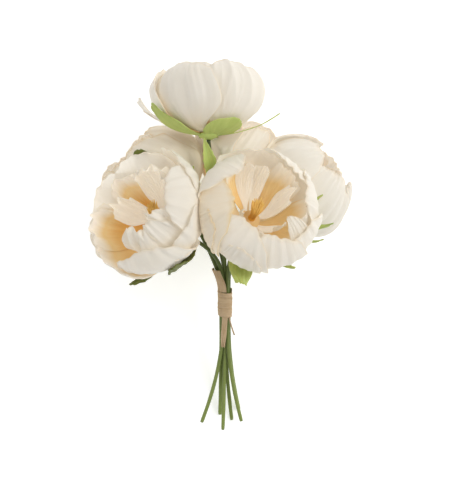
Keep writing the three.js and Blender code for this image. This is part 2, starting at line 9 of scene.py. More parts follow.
import bpy
import numpy as np
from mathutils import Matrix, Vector


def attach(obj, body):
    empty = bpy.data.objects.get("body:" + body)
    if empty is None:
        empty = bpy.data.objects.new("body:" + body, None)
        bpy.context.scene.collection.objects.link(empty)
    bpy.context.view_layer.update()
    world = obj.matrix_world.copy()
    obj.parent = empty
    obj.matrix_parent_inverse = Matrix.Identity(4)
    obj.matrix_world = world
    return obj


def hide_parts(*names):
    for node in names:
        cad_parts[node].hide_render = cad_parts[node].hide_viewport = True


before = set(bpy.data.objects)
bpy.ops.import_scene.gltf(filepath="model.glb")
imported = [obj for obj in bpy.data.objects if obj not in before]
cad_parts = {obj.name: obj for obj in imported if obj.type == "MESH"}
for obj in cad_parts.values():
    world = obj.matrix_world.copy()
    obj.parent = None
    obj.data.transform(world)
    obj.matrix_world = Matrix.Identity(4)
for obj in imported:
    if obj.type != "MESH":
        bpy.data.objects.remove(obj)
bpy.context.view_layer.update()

MM = 0.001
PLACE = np.array([6.0, 9.2, 0.0])  # from the drawing's origin to the bunch's own

# ---------------------------------------------------------------- shared dimensions, in millimetres

GAP = 0.3
PETAL_THICK = 0.8
CUP_LOW = 33.0
CUP_HIGH = 27.0
CORE_RADIUS = 9.0
CORE_HEIGHT = 13.0
CALYX_RADIUS = 8.2
CALYX_DEPTH = 5.5
STEM_RADIUS = 1.55
STEM_RING = 3.3
STEM_STRAIGHT = 38.0
STEM_SPREAD = 36.0
TIE_CENTRE = np.array([-3.3, -52.0, 33.0])
TIE_RISE = 15.0
TIE_LENGTH = 24.0
TIE_BORE = 5.2
TIE_WALL = 0.75
STRAP_LENGTH = 17.0
TAIL_LENGTH = 23.0
STRAND_LENGTH = 14.0
SEAM_SOFT = 1.2
FLOOR_LEVEL = -0.1
FLOOR_SOFT = 3.0
SEPAL_STAND = 2.4
SEPAL_RISE = 2.4
LEAF_STAND = 8.5
LEAF_CLOSE = 4.5
LEAF_THICK = 0.6
WINDING_TURNS = 5
STRIP_THICK = 0.35  # the wound raffia
STRAP_THICK = 0.5
LOOSE_THICK = 0.4  # the raffia's tail and strand
TAIL_WIDTH = 4.4
STRAND_WIDTH = 0.9

HEADS = {
    "top": dict(centre=(-17.4, 116.9, 82), heading=92, rise=-8, radius=43.5, form="globe", roll=21, seed=3),
    "left_front": dict(centre=(-65, 21.6, 98), heading=147, rise=55, radius=51, form="open", seed=11),
    "right_front": dict(centre=(23.4, 24, 105), heading=52, rise=64, radius=48.5, form="open", seed=23),
    "left_back": dict(centre=(-61.5, 50, 41), heading=135, rise=8, radius=46, form="bud", seed=37),
    "right_back": dict(centre=(60, 44, 38.4), heading=38, rise=10, radius=43, form="bud", seed=41),
    "middle_back": dict(centre=(8.5, 68, 37), heading=60, rise=6, radius=41, form="tucked", seed=53),
}

# Where two heads press on each other: pair, share of the way between their centres, and lean.
SEAMS = [
    ("left_front", "right_front", 0.522, 0.2),
    ("left_front", "left_back", 0.5, 0),
    ("right_front", "right_back", 0.555, 0),
    ("right_front", "middle_back", 0.53, 0),
    ("right_front", "left_back", 0.5, 0),
    ("left_back", "middle_back", 0.61, -0.3),
    ("right_back", "middle_back", 0.57, -0.4),
    ("top", "middle_back", 0.52, 0),
    ("top", "left_back", 0.5, 0),
    ("top", "left_front", 0.5, 0),
    ("top", "right_front", 0.5, 0),
    ("left_front", "middle_back", 0.5, 0),
]

# ---------------------------------------------------------------- small tools

RIPPLE_WAVES = 6

def draw(seed):
    """A fixed draw between -1 and 1 for each seed."""
    wave = math.sin(seed * 12.9898 + 4.1414) * 43758.5453
    return 2 * (wave - math.floor(wave)) - 1


def smooth(x, low, high):
    """An even rise from 0 at low to 1 at high."""
    t = np.clip((x - low) / (high - low), 0, 1)
    return t * t * (3 - 2 * t)


def unit(vector):
    vector = np.asarray(vector, float)
    return vector / np.linalg.norm(vector)


def direction_of(head):
    """The way that a head faces."""
    heading, rise = math.radians(head["heading"]), math.radians(head["rise"])
    return np.array([math.cos(heading) * math.cos(rise), math.sin(heading) * math.cos(rise), math.sin(rise)])


def frame_of(name):
    """A head's axes as rows, and its foot."""
    head = HEADS[name]
    z = direction_of(head)
    x = unit(np.array([1.0, 0, 0]) - z * z[0])
    return np.array([x, np.cross(z, x), z]), np.array(head["centre"], float) - CUP_LOW * z


def planes_of(name, keep):
    """The planes that a head's sheets stay before: its seams and the surface that it lies on."""
    planes = []
    for first, second, share, lean in SEAMS:
        if name not in (first, second):
            continue
        start = np.array(HEADS[first]["centre"], float)
        way = np.array(HEADS[second]["centre"], float) - start
        normal = unit(unit(way) + np.array([0, 0, lean]))
        planes.append((start + way * share, -normal if name == second else normal, keep, SEAM_SOFT))
    planes.append((np.array([0, 0, FLOOR_LEVEL]), np.array([0, 0, -1.0]), 0, FLOOR_SOFT))
    return planes


def press(points, planes):
    """Moves points back from the planes near them."""
    points = points.copy()
    for on, normal, keep, soft in planes:
        depth = (points - on) @ normal + keep
        near = depth > -soft
        kept = -soft * np.exp(-(depth[near] + soft) / soft)
        points[near] += (kept - depth[near])[:, None] * normal
    return points


def ripple(u, v, seed, fine=3.0):
    """A smooth uneven surface between about -1 and 1 over u and v."""
    total = np.zeros(np.broadcast(u, v).shape)
    for k in range(RIPPLE_WAVES):
        across = fine * (1.2 + draw(seed + 0.11 * k))
        along = fine * (1.2 + draw(seed + 0.17 * k + 5))
        total += np.sin(across * u + along * v * (1 if k % 2 else -1) + math.pi * draw(seed + 0.23 * k + 9))
    return total / RIPPLE_WAVES * 1.6


class Skin:
    """Collects vertices, faces and the values painted on them for one object."""

    def __init__(self):
        self.points, self.faces, self.values, self.slots = [], [], {}, []
        self.count = 0

    def add(self, points, faces, slot=0, **values):
        points = np.asarray(points, float).reshape(-1, 3)
        self.points.append(points)
        self.faces += [tuple(self.count + i for i in face) for face in faces]
        self.slots += [slot] * len(faces)
        for name in set(values) | set(self.values):
            held = self.values.setdefault(name, [np.zeros(self.count)] if self.count else [])
            given = values.get(name, 0.0)
            held.append(np.broadcast_to(np.asarray(given, float), (len(points),)).copy())
        self.count += len(points)

    def build(self, name, *materials):
        points = np.concatenate(self.points) + PLACE
        points[:, 2] = np.maximum(points[:, 2], 0.0)
        mesh = bpy.data.meshes.new(name)
        mesh.from_pydata((points * MM).tolist(), [], self.faces)
        for key, parts in self.values.items():
            layer = mesh.attributes.new(key, "FLOAT", "POINT")
            layer.data.foreach_set("value", np.concatenate(parts).astype(np.float32))
        for material in materials:
            mesh.materials.append(material)
        mesh.polygons.foreach_set("material_index", self.slots)
        mesh.polygons.foreach_set("use_smooth", [True] * len(mesh.polygons))
        mesh.update()
        piece = bpy.data.objects.new(name, mesh)
        bpy.context.scene.collection.objects.link(piece)
        return piece


def grid_faces(columns, rows, start=0, flip=False, closed=False):
    """Four-sided faces over a grid of points. closed joins the last column to the first."""
    faces = []
    for i in range(columns if closed else columns - 1):
        for j in range(rows - 1):
            a = start + i * rows + j
            b = start + ((i + 1) % columns) * rows + j
            faces.append((a, a + 1, b + 1, b) if flip else (a, b, b + 1, a + 1))
    return faces


def normals_of(points):
    """Normals of a grid of points, columns by rows."""
    across = np.gradient(points, axis=0)
    along = np.gradient(points, axis=1)
    normal = np.cross(across, along)
    return normal / np.maximum(np.linalg.norm(normal, axis=2, keepdims=True), 1e-9)


def add_sheet(skin, points, thick, slot=0, **values):
    """A closed sheet on a grid of points: thick may vary over the grid."""
    columns, rows = points.shape[:2]
    normal = normals_of(points)
    half = np.broadcast_to(np.asarray(thick, float) / 2, (columns, rows))[..., None]
    outward = (points + normal * half).reshape(-1, 3)
    inward = (points - normal * half).reshape(-1, 3)
    both = np.concatenate([outward, inward])
    count = columns * rows
    faces = grid_faces(columns, rows) + grid_faces(columns, rows, start=count, flip=True)
    edge = [i * rows for i in range(columns)]
    edge += [(columns - 1) * rows + j for j in range(1, rows)]
    edge += [i * rows + rows - 1 for i in range(columns - 2, -1, -1)]
    edge += [j for j in range(rows - 2, 0, -1)]
    for here, there in zip(edge, edge[1:] + edge[:1]):
        faces.append((here, count + here, count + there, there))
    painted = {}
    for key, value in values.items():
        front, back = value if isinstance(value, tuple) else (value, value)
        sides = (np.broadcast_to(np.asarray(part, float), (columns, rows)) for part in (front, back))
        painted[key] = np.concatenate([side.reshape(-1) for side in sides])
    skin.add(both, faces, slot, **painted)


def add_tube(skin, path, radius, sides):
    """A closed round tube along a path of points. radius may vary along it."""
    path = np.asarray(path, float)
    count = len(path)
    radius = np.broadcast_to(np.asarray(radius, float), (count,))
    tangents = np.gradient(path, axis=0)
    tangents /= np.linalg.norm(tangents, axis=1, keepdims=True)
    side = unit(np.cross(tangents[0], [0.0, 0, 1]) + np.array([1e-6, 0, 0]))
    angles = 2 * np.pi * np.arange(sides) / sides
    rings = []
    for point, tangent, wide in zip(path, tangents, radius):
        side = unit(side - tangent * (side @ tangent))
        up = np.cross(tangent, side)
        rings.append(point + wide * (np.cos(angles)[:, None] * side + np.sin(angles)[:, None] * up))
    points = np.array(rings).transpose(1, 0, 2)
    faces = grid_faces(sides, count, closed=True)
    first, last = sides * count, sides * count + 1
    for k in range(sides):
        a, b = k * count, ((k + 1) % sides) * count
        faces.append((first, b, a))
        faces.append((last, a + count - 1, b + count - 1))
    along = np.concatenate([np.tile(np.linspace(0, 1, count), sides), [0, 1]])
    every = np.concatenate([points.reshape(-1, 3), [path[0], path[-1]]])
    skin.add(every, faces, along=along)


# ---------------------------------------------------------------- finishes

# Colours as sRGB hex numbers.
CREAM = 0xFBF5E9
IVORY = 0xF6EDDB
# PEACH and ORANGE: partly the petals' own warm feet, partly painted shade deep in the hollows of the heads
PEACH = 0xEECC92
ORANGE = 0xDFA24A
SEPAL_LIGHT = 0xD1DD88
SEPAL_DARK = 0xA3B957
LEAF_LIGHT = 0x7C8436
LEAF_DARK = 0x4C5420
STEM_DEEP = 0x687732
STEM_LIGHT = 0x8F9E54
STEM_PAINTED_SHADE = 0x434E26  # painted shade: darker where the stems leave their heads, in the heads' shadow
RAFFIA_DARK = 0xAA8452
RAFFIA_LIGHT = 0xEFD8B8
STAMEN_FOOT = 0xD99A3E
STAMEN_TIP = 0xF6D27C
STAMEN_GRAIN = 0xE0A23C

WEAVE_SCALE = 1400.0
GREEN_SPECULAR = 0.35
PETAL_PAINTED_GLOW = 0.18  # painted glow: the petals give off light of their own, in place of light that comes through the cloth


def socket_colour(hex_colour):
    """A linear colour from an sRGB hex number."""
    parts = [((hex_colour >> shift) & 255) / 255 for shift in (16, 8, 0)]
    return tuple(p / 12.92 if p <= 0.04045 else ((p + 0.055) / 1.055) ** 2.4 for p in parts) + (1.0,)


def new_group(name, inputs, outputs):
    group = bpy.data.node_groups.new(name, "ShaderNodeTree")
    for label, kind, value in inputs:
        made = group.interface.new_socket(label, in_out="INPUT", socket_type=kind)
        made.default_value = value
    for label, kind in outputs:
        group.interface.new_socket(label, in_out="OUTPUT", socket_type=kind)
    return group, group.nodes.new("NodeGroupInput"), group.nodes.new("NodeGroupOutput")


def feed(tree, socket, value):
    """Sets a socket to a plain value, or links it to another node's output."""
    if isinstance(value, (int, float, tuple)):
        socket.default_value = value
    else:
        tree.links.new(value, socket)


def math_node(tree, operation, first, second, clamp=False):
    node = tree.nodes.new("ShaderNodeMath")
    node.operation = operation
    node.use_clamp = clamp
    for socket, value in zip(node.inputs, (first, second)):
        feed(tree, socket, value)
    return node.outputs[0]


def attribute(tree, name):
    node = tree.nodes.new("ShaderNodeAttribute")
    node.attribute_type = "GEOMETRY"
    node.attribute_name = name
    return node.outputs["Fac"]


def mix_colour(tree, factor, first, second):
    node = tree.nodes.new("ShaderNodeMix")
    node.data_type = "RGBA"
    sockets = [s for s in node.inputs if s.enabled]
    for socket, value in zip(sockets, (factor, first, second)):
        feed(tree, socket, value)
    return [s for s in node.outputs if s.enabled][0]


def noise_value(tree, scale, detail, rough, vector):
    node = tree.nodes.new("ShaderNodeTexNoise")
    node.inputs["Scale"].default_value = scale
    node.inputs["Detail"].default_value = detail
    node.inputs["Roughness"].default_value = rough
    tree.links.new(vector, node.inputs["Vector"])
    return node.outputs["Fac"]


def combine(tree, x, y, z):
    node = tree.nodes.new("ShaderNodeCombineXYZ")
    for socket, value in zip(node.inputs, (x, y, z)):
        tree.links.new(value, socket)
    return node.outputs[0]


def object_coordinates(tree):
    return tree.nodes.new("ShaderNodeTexCoord").outputs["Object"]


def fibre_group():
    """Long fine fibres that run along a piece, as in raffia, leaf veins and petal veins."""
    inputs = [
        ("Across", "NodeSocketFloat", 0.0),
        ("Along", "NodeSocketFloat", 0.0),
        ("Piece", "NodeSocketFloat", 0.0),
        ("Count", "NodeSocketFloat", 12.0),
        ("Length", "NodeSocketFloat", 2.0),
    ]
    group, given, out = new_group("long_fibres", inputs, [("Value", "NodeSocketFloat")])
    across = math_node(group, "MULTIPLY", given.outputs["Across"], given.outputs["Count"])
    along = math_node(group, "MULTIPLY", given.outputs["Along"], given.outputs["Length"])
    where = combine(group, across, along, math_node(group, "MULTIPLY", given.outputs["Piece"], 37.0))
    group.links.new(noise_value(group, 1.0, 3.0, 0.6, where), out.inputs["Value"])
    return group


def weave_group():
    """A fine cloth weave: two crossed sets of threads with uneven thickness."""
    inputs = [("Scale", "NodeSocketFloat", WEAVE_SCALE)]
    group, given, out = new_group("cloth_weave", inputs, [("Value", "NodeSocketFloat")])
    place = object_coordinates(group)
    waves = []
    for axis in ("X", "Y"):
        wave = group.nodes.new("ShaderNodeTexWave")
        wave.bands_direction = axis
        wave.inputs["Distortion"].default_value = 1.2
        wave.inputs["Detail"].default_value = 1.0
        group.links.new(given.outputs["Scale"], wave.inputs["Scale"])
        group.links.new(place, wave.inputs["Vector"])
        waves.append(wave.outputs["Fac"])
    group.links.new(math_node(group, "MULTIPLY", *waves), out.inputs["Value"])
    return group


LONG_FIBRES = fibre_group()
CLOTH_WEAVE = weave_group()


def place_group(tree, group, **values):
    node = tree.nodes.new("ShaderNodeGroup")
    node.node_tree = group
    for key, value in values.items():
        feed(tree, node.inputs[key], value)
    return node.outputs["Value"]


def new_material(name, roughness, **sockets):
    material = bpy.data.materials.new(name)
    material.use_nodes = True
    tree = material.node_tree
    shader = tree.nodes["Principled BSDF"]
    shader.inputs["Roughness"].default_value = roughness
    for key, value in sockets.items():
        shader.inputs[key.replace("_", " ")].default_value = value
    return material, tree, shader


def bump(tree, shader, height, distance, strength):
    node = tree.nodes.new("ShaderNodeBump")
    node.inputs["Distance"].default_value = distance
    node.inputs["Strength"].default_value = strength
    tree.links.new(height, node.inputs["Height"])
    tree.links.new(node.outputs["Normal"], shader.inputs["Normal"])


def petal_material():
    material, tree, shader = new_material(
        "peony_petal_cloth", 0.72, Subsurface_Weight=0.4, Subsurface_Scale=0.003,
        Subsurface_Radius=(1.0, 1.0, 1.0), Emission_Strength=PETAL_PAINTED_GLOW, Sheen_Weight=0.12,
        Sheen_Roughness=0.5, Specular_IOR_Level=0.3,
    )
    across, along = attribute(tree, "across"), attribute(tree, "along")
    piece, warm = attribute(tree, "piece"), attribute(tree, "warm")
    veins = place_group(tree, LONG_FIBRES, Across=across, Along=along, Piece=piece, Count=9.0, Length=1.1)
    weave = place_group(tree, CLOTH_WEAVE, Scale=WEAVE_SCALE)
    cloud = noise_value(tree, 38.0, 3.0, 0.55, object_coordinates(tree))
    tinted = mix_colour(tree, cloud, socket_colour(CREAM), socket_colour(IVORY))
    streaks = math_node(tree, "MULTIPLY", math_node(tree, "SUBTRACT", veins, 0.5), 0.35)
    glow = math_node(tree, "ADD", warm, streaks)
    # the warm mask paints peach, then orange, towards the petals' feet: partly their own colour, partly
    # painted shade in the hollows
    warmth = math_node(tree, "MULTIPLY", glow, warm, clamp=True)
    peach = math_node(tree, "MULTIPLY", warmth, 1.6, clamp=True)
    orange = math_node(tree, "MULTIPLY", math_node(tree, "SUBTRACT", glow, 0.95), 1.5, clamp=True)
    tinted = mix_colour(tree, peach, tinted, socket_colour(PEACH))
    tinted = mix_colour(tree, orange, tinted, socket_colour(ORANGE))
    tree.links.new(tinted, shader.inputs["Base Color"])
    # painted glow: the petals give off light in their own colour, fully from their inner faces and weakly
    # from their outer ones, in place of light that comes through the cloth
    lit = mix_colour(tree, attribute(tree, "inner"), (0.0, 0.0, 0.0, 1.0), tinted)
    tree.links.new(lit, shader.inputs["Emission Color"])
    height = math_node(tree, "ADD", veins, math_node(tree, "MULTIPLY", weave, 0.12))
    bump(tree, shader, height, 0.0011, 0.8)
    return material


def green_material(name, light, dark, roughness, count):
    """Leaves and sepals: two greens mixed along the ribs and in soft patches."""
    material, tree, shader = new_material(
        name, roughness, Specular_IOR_Level=GREEN_SPECULAR, Subsurface_Weight=0.1, Subsurface_Scale=0.002,
    )
    across, along = attribute(tree, "across"), attribute(tree, "along")
    piece, warm = attribute(tree, "piece"), attribute(tree, "warm")
    ribs = place_group(tree, LONG_FIBRES, Across=across, Along=along, Piece=piece, Count=count, Length=0.8)
    cloud = noise_value(tree, 90.0, 3.0, 0.6, object_coordinates(tree))
    patches = math_node(tree, "MULTIPLY", cloud, 0.5)
    mask = math_node(tree, "ADD", math_node(tree, "MULTIPLY", ribs, 0.9), patches)
    mask = math_node(tree, "SUBTRACT", math_node(tree, "ADD", mask, warm), 0.25, clamp=True)
    tone = mix_colour(tree, mask, socket_colour(light), socket_colour(dark))
    tree.links.new(tone, shader.inputs["Base Color"])
    bump(tree, shader, ribs, 0.0012, 0.7)
    return material


def stem_material():
    material, tree, shader = new_material("stem_green", 0.5, Specular_IOR_Level=0.4)
    along = attribute(tree, "along")
    place = object_coordinates(tree)
    streaks = noise_value(tree, 220.0, 3.0, 0.6, place)
    patches = noise_value(tree, 30.0, 2.0, 0.5, place)
    mask = math_node(tree, "MULTIPLY", math_node(tree, "ADD", streaks, patches), 0.6, clamp=True)
    base = mix_colour(tree, mask, socket_colour(STEM_DEEP), socket_colour(STEM_LIGHT))
    # painted shade: the stems darken from their cut ends up to their heads, which shade them
    tone = mix_colour(tree, along, socket_colour(STEM_PAINTED_SHADE), base)
    tree.links.new(tone, shader.inputs["Base Color"])
    bump(tree, shader, streaks, 0.0003, 0.6)
    return material


def raffia_material():
    material, tree, shader = new_material("raffia_fibre", 0.8, Specular_IOR_Level=0.25)
    across, along, piece = (attribute(tree, key) for key in ("across", "along", "piece"))
    fibres = place_group(tree, LONG_FIBRES, Across=across, Along=along, Piece=piece, Count=14.0, Length=1.5)
    cloud = noise_value(tree, 120.0, 3.0, 0.6, object_coordinates(tree))
    patches = math_node(tree, "MULTIPLY", cloud, 0.4)
    mask = math_node(tree, "ADD", math_node(tree, "MULTIPLY", fibres, 0.8), patches)
    mask = math_node(tree, "SUBTRACT", mask, 0.1, clamp=True)
    tone = mix_colour(tree, mask, socket_colour(RAFFIA_DARK), socket_colour(RAFFIA_LIGHT))
    tree.links.new(tone, shader.inputs["Base Color"])
    bump(tree, shader, fibres, 0.0012, 0.8)
    return material


def stamen_material():
    material, tree, shader = new_material("stamen_yellow", 0.7, Specular_IOR_Level=0.3)
    along = attribute(tree, "along")
    grain = noise_value(tree, 900.0, 2.0, 0.6, object_coordinates(tree))
    tone = mix_colour(tree, along, socket_colour(STAMEN_FOOT), socket_colour(STAMEN_TIP))
    tone = mix_colour(tree, math_node(tree, "MULTIPLY", grain, 0.5), tone, socket_colour(STAMEN_GRAIN))
    tree.links.new(tone, shader.inputs["Base Color"])
    bump(tree, shader, grain, 0.0006, 0.8)
    return material


PETAL = petal_material()
SEPAL = green_material("sepal_green", SEPAL_LIGHT, SEPAL_DARK, 0.6, 7.0)
LEAF = green_material("leaf_green", LEAF_LIGHT, LEAF_DARK, 0.5, 5.0)
STEM = stem_material()
RAFFIA = raffia_material()
STAMEN = stamen_material()

# ---------------------------------------------------------------- petals

RINGS = [
    dict(count=5, radius=1.0, root=9, end=134, span=48, droop=20, yaw=2.4, ruffle=0.3, lip=0.6, heat=0.75),
    dict(count=4, radius=0.86, lift=2, root=10, end=140, span=54, droop=20, yaw=2.2, ruffle=0.3, turn=36,
         high=22, heat=0.85),
    dict(count=3, radius=0.66, lift=4.5, root=13, end=128, span=62, droop=26, yaw=2, ruffle=1.2, waves=3,
         turn=20, high=17),
    dict(count=3, radius=0.42, lift=7.5, root=20, end=106, span=54, droop=22, yaw=2, ruffle=1.2, waves=3,
         turn=50, high=12),
]
# The finer look of each head's petals. Their blush is a warm tint over the outer faces: partly the petals'
# own colour, partly painted shade, strongest on the back heads and on petals that lie in the shade of
# others.
FINISH = {
    "top": dict(blush=0.16, pleat=0.8, pleats=4, folds=6, press=0.8, notch=4.5),
    "left_front": dict(blush=0.12, frill=0.6, frills=5, notch=3.2),
    "right_front": dict(blush=0.18, frill=0.5, frills=5),
    "left_back": dict(blush=0.38, pleat=0.4, folds=4, notch=4.0, frill=0.8),
    "right_back": dict(blush=0.12, notch=4.5, frill=1.0, frills=6, pleat=0.5),
    "middle_back": dict(blush=0.28, pleat=0.7, pleats=9),
}
RINGS_SHOWN = {"globe": [0, 1, 2, 3], "bud": [0, 1, 2], "tucked": [0, 3], "open": []}
RIM_TINT = 0.33  # the rims of the petals are a little warmer
OUTER_PAINTED_GLOW = 0.3  # share of the painted glow that a petal's outer face gives off, in place of light that comes through the petal
OUTER_WARMTH = 0.45  # share of a petal's warmth that its outer face shows
PETAL_FOOT_THICK = 0.75
PETAL_RIM_THICK = 0.35
PETAL_GRIDS = {"open": (61, 37), "globe": (57, 33), "bud": (43, 31), "tucked": (43, 31)}
PIECE_STEP = 0.13  # sets the fibres of each sheet apart
BUD_TALL = 1.37  # a bud's petals close over a taller top than a globe's
BUD_CLOSE = 15  # and reach further over it, in degrees

def outer(**own):
    """An outer petal of an open head."""
    return {**dict(radius=1.0, root=9, span=46, droop=20, yaw=2.6, lip=0.6, waist=0.32, heat=0.7), **own}


def inner(**own):
    """A petal that stands inside an open head."""
    return {**dict(lift=3, root=10, span=34, yaw=3, ruffle=1.2), **own}


# Petals placed one by one. Those with a radius over 1 lie just outside the others of their head.
PLACED_PETALS = {
    "top": [
        dict(
            turn=169, radius=1, root=8, end=88, span=29, stand=1.5, flare=11, droop=16, taper=0.85,
            heat=0.2,
        ),
    ],
    "left_front": [
        outer(turn=325, end=112, span=36),
        outer(turn=277, end=126, span=44),
        outer(turn=232, end=104, span=42, heat=1.2, fade=(0.35, 1.0)),
        outer(turn=187, end=98, span=40, radius=0.99, heat=1.3, fade=(0.35, 1.0)),
        outer(turn=140, end=100, span=42, radius=0.98),
        outer(turn=92, end=104, span=40, radius=0.96),
        outer(turn=42, end=110, span=42, radius=0.99),
        outer(turn=5, end=144, span=44, radius=0.92, yaw=0, curl=1.5),
        outer(turn=300, end=146, span=34, radius=0.8, yaw=0, ruffle=1.5, waves=3),
        inner(turn=128, radius=0.72, end=104, span=27, heat=1.5, fade=(0.3, 1.0)),
        inner(turn=188, radius=0.9, end=104, span=26, ruffle=2.0, waves=3, heat=1.5, fade=(0.3, 1.0)),
        inner(turn=270, radius=0.66, end=142, span=34, ruffle=2.4, waves=3, heat=0.4),
        inner(turn=318, radius=0.62, end=140, span=34, ruffle=2.0, waves=3, heat=0.4),
        inner(turn=40, radius=0.6, end=112, span=28, ruffle=2.0, waves=3, heat=0.6),
        inner(
            turn=82, radius=0.62, lift=5, end=112, span=32, yaw=-4, ruffle=3, waves=4, heat=0.2,
            pleat=0.5, pleats=11, frill=0.9,
        ),
        inner(
            turn=153, radius=0.5, lift=6, end=96, span=27, yaw=6, ruffle=2.2, waves=3, heat=0.25,
            frill=0.9,
        ),
        outer(turn=300, radius=1.02, end=88, span=26),
    ],
    "right_front": [
        outer(turn=187, end=148, span=44, blush=0.45),
        outer(turn=235, end=150, span=44),
        outer(turn=281, end=142, span=42),
        outer(turn=325, end=130, span=38),
        outer(turn=8, end=140, span=40),
        outer(turn=53, end=130, span=40),
        outer(turn=98, end=112, span=40),
        outer(turn=142, end=140, span=38),
        outer(turn=322, end=150, span=17, radius=0.86),
        inner(turn=48, radius=0.8, end=114, span=24, heat=1.1, fade=(0.2, 1.0)),
        inner(turn=104, radius=0.74, end=106, span=13, fold=2, heat=0.25),
        inner(turn=122, radius=0.82, end=112, span=15, yaw=-3, heat=1.1, fade=(0.2, 1.0)),
        inner(turn=82, radius=0.7, end=108, span=12, fold=2, heat=0.3),
        inner(turn=270, radius=0.7, end=124, span=34, heat=1.0),
        inner(turn=350, radius=0.8, end=118, span=34, heat=1.0, fade=(0.2, 1.0)),
        inner(turn=22, radius=0.56, lift=5, root=14, end=108, span=24, yaw=8, ruffle=2.4, heat=0.12),
        inner(turn=205, radius=0.36, lift=6, root=16, end=100, span=16, heat=0.5),
        inner(turn=320, radius=0.46, lift=6, root=16, end=92, span=22, heat=0.25),
        outer(turn=202, radius=1.025, end=116, span=25, blush=0.42),
        outer(turn=250, radius=1.02, end=122, span=27),
    ],
}

PLAIN_PETAL = dict(
    low=CUP_LOW, high=CUP_HIGH, lift=0, root=8, droop=24, yaw=0, ruffle=0, waves=2, phase=0, fold=0, lip=0,
    flare=0, stand=0, turn=0, taper=0.2, teeth=0, stalk=0, waist=0.45, cells=4,
    # finer than the solids: a wavy rim, soft creases, pleats, an outward curl of the rim, and warmth, partly
    # painted shade
    frill=0.4, frills=4, crease=0.35, pleat=0.3, pleats=7, curl=0.0, notch=2.5, folds=3, press=0.45,
    edge=0.7, heat=1.0, fade=(0.1, 0.9), blush=0.0,
)


def petal_points(petal, u, v):
    """Points of a petal in its head's frame, over a grid of u (-1 to 1) and v (0 to 1)."""
    p = petal
    seed = p["seed"]
    size = np.abs(u)
    rim = smooth(v, 0.55, 1)
    uneven = ripple(u, v * 0, seed + 2.5, fine=3.0)
    ragged = ripple(u, v * 0, seed + 6.5, fine=9.0)
    reach = p["end"] - p["droop"] * size**2.4 + p["notch"] * (uneven + 0.3 * ragged)
    angle = np.radians(p["root"] + (reach - p["root"]) * v)
    tall = np.where(angle < np.pi / 2, p["low"], p["high"])
    grown = smooth(v, 0, 0.5)
    sway = np.pi * p["waves"] * u + p["phase"]
    tooth = 1 + p["teeth"] * np.cos(p["cells"] * np.pi * v)
    wide = (p["waist"] + (1 - p["waist"]) * grown) * (1 - p["taper"] * smooth(v, 0.5, 1)) * tooth
    strayed = u + 0.12 * ripple(u, v * 0, seed + 7)
    frill = p["frill"] * rim**2 * np.sin(np.pi * p["frills"] * strayed + 5 * p["phase"])
    pleat = p["pleat"] * grown * np.cos(np.pi * p["pleats"] * u + p["phase"]) * (1 - 0.5 * rim)
    crease = p["crease"] * grown * ripple(u * 1.4, v * 1.6, seed + 4.2)
    for k in range(p["folds"]):
        line = u - 0.8 * draw(seed + 0.31 * k) - 0.25 * draw(seed + 0.37 * k) * v - 0.05 * np.sin(4 * v + k)
        crease = crease + p["press"] * np.exp(-((line / 0.045) ** 2)) * smooth(v, 0.15, 0.5)
    edge = p["edge"] * smooth(size, 0.8, 1) ** 2 * grown
    r = (
        p["radius"] * np.sin(angle)
        + p["yaw"] * u * grown
        + p["ruffle"] * np.sin(sway) * v**3
        - p["fold"] * (1 - size) * grown
        + p["lip"] * smooth(v, 0.75, 1) * (1 - u * u)
        + p["stand"] * smooth(v, 0, 0.4)
        + p["flare"] * v * v
        + frill + pleat + crease + edge
        + p["curl"] * smooth(v, 0.8, 1) ** 2
    )
    z = p["lift"] + p["low"] - tall * np.cos(angle) + 0.4 * p["ruffle"] * np.cos(sway + p["phase"]) * v**3
    z = z + 0.5 * frill - 0.35 * abs(p["curl"]) * smooth(v, 0.88, 1) ** 2
    around = np.radians(p["turn"] + p["span"] * u * wide)
    c, s = np.cos(around), np.sin(around)
    return np.stack([r * c - p["stalk"] * u * s, r * s + p["stalk"] * u * c, z], axis=-1)


def petals_of(name):
    """Every petal of a head, with its small draws made."""
    head = HEADS[name]
    petals = []

    def add(spec, share, seed):
        petal = {**PLAIN_PETAL, **FINISH[name], **spec, "seed": seed}
        petal["radius"] = spec["radius"] * head["radius"] * share
        petal["turn"] += 3 * draw(seed)
        petal["end"] += 4 * draw(seed + 0.3)
        petal["phase"] = math.pi * draw(seed + 0.6)
        petals.append(petal)

    for index in RINGS_SHOWN[head["form"]]:
        spec = RINGS[index]
        for k in range(spec["count"]):
            seed = head["seed"] + 10 * index + k
            turned = {**spec, "turn": spec.get("turn", 0) + head.get("roll", 0) + 360 * k / spec["count"]}
            if head["form"] != "globe":
                turned["high"] = spec.get("high", CUP_HIGH) * BUD_TALL
                turned["end"] += BUD_CLOSE
            add(turned, 1 + 0.01 * draw(seed + 0.9), seed)
    for k, spec in enumerate(PLACED_PETALS.get(name, [])):
        add(spec, 1, head["seed"] + 60 + k)
    return petals


def laid(points, name, planes):
    """Points of a head's frame, in the drawing and pressed back from the planes."""
    axes, foot = frame_of(name)
    return press(points.reshape(-1, 3) @ axes + foot, planes).reshape(points.shape)


def grid(columns, rows):
    """u from -1 to 1 over the columns, and v from 0 to 1 over the rows."""
    return np.meshgrid(np.linspace(-1, 1, columns), np.linspace(0, 1, rows), indexing="ij")


